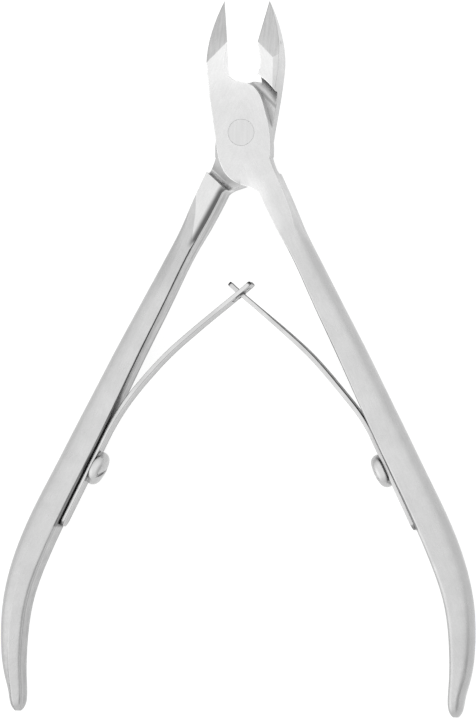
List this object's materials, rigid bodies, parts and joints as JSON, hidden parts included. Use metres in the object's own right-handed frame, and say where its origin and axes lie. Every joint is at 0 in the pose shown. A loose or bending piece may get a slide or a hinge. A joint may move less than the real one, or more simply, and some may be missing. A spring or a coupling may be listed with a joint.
{
  "type": "cuticle nipper",
  "caption": "Lap-joint cuticle nipper with pointed jaws, long curved handles and two interlocking leaf springs that hold it open.",
  "frame": {"origin": "on the pivot axis, in the plane that the tool lies on", "axes": "+Y from the pivot to the jaw tips, +X to the right, +Z through the thickness, towards the rivet's wide head"},
  "size_m": [0.0804, 0.1191, 0.0066],
  "materials": {
    "forged_steel": "satin",
    "pivot_steel": "ground flush",
    "spring_steel": "polished",
    "screw_steel": "satin"
  },
  "bodies": {
    "front": {"front_half": "forged_steel", "right_spring_screw": "screw_steel"},
    "back": {"back_half": "forged_steel", "pivot_rivet": "pivot_steel", "left_spring_screw": "screw_steel"},
    "left_leaf": {"left_spring": "spring_steel"},
    "right_leaf": {"right_spring": "spring_steel"}
  },
  "joints": [
    {"name": "jaw_pivot", "type": "hinge", "parent": "front", "child": "back", "pos_m": [0, 0, 0.0033], "axis": [0, 0, 1], "range_deg": [0, 19.4], "stiffness_Nm_per_rad": 1.2, "springref_deg": -2.86},
    {"name": "left_leaf_flex", "type": "hinge", "parent": "back", "child": "left_leaf", "pos_m": [-0.0205, -0.047, 0.0033], "axis": [0, 0, 1], "range_deg": [0, 11], "deforming": ["left_spring"]},
    {"name": "right_leaf_flex", "type": "hinge", "parent": "front", "child": "right_leaf", "pos_m": [0.0205, -0.047, 0.0033], "axis": [0, 0, 1], "range_deg": [-11, 0], "deforming": ["right_spring"]}
  ],
  "couplings": [
    {"joint": "left_leaf_flex", "follows": "jaw_pivot", "ratio": 0.544},
    {"joint": "right_leaf_flex", "follows": "jaw_pivot", "ratio": -0.544}
  ]
}
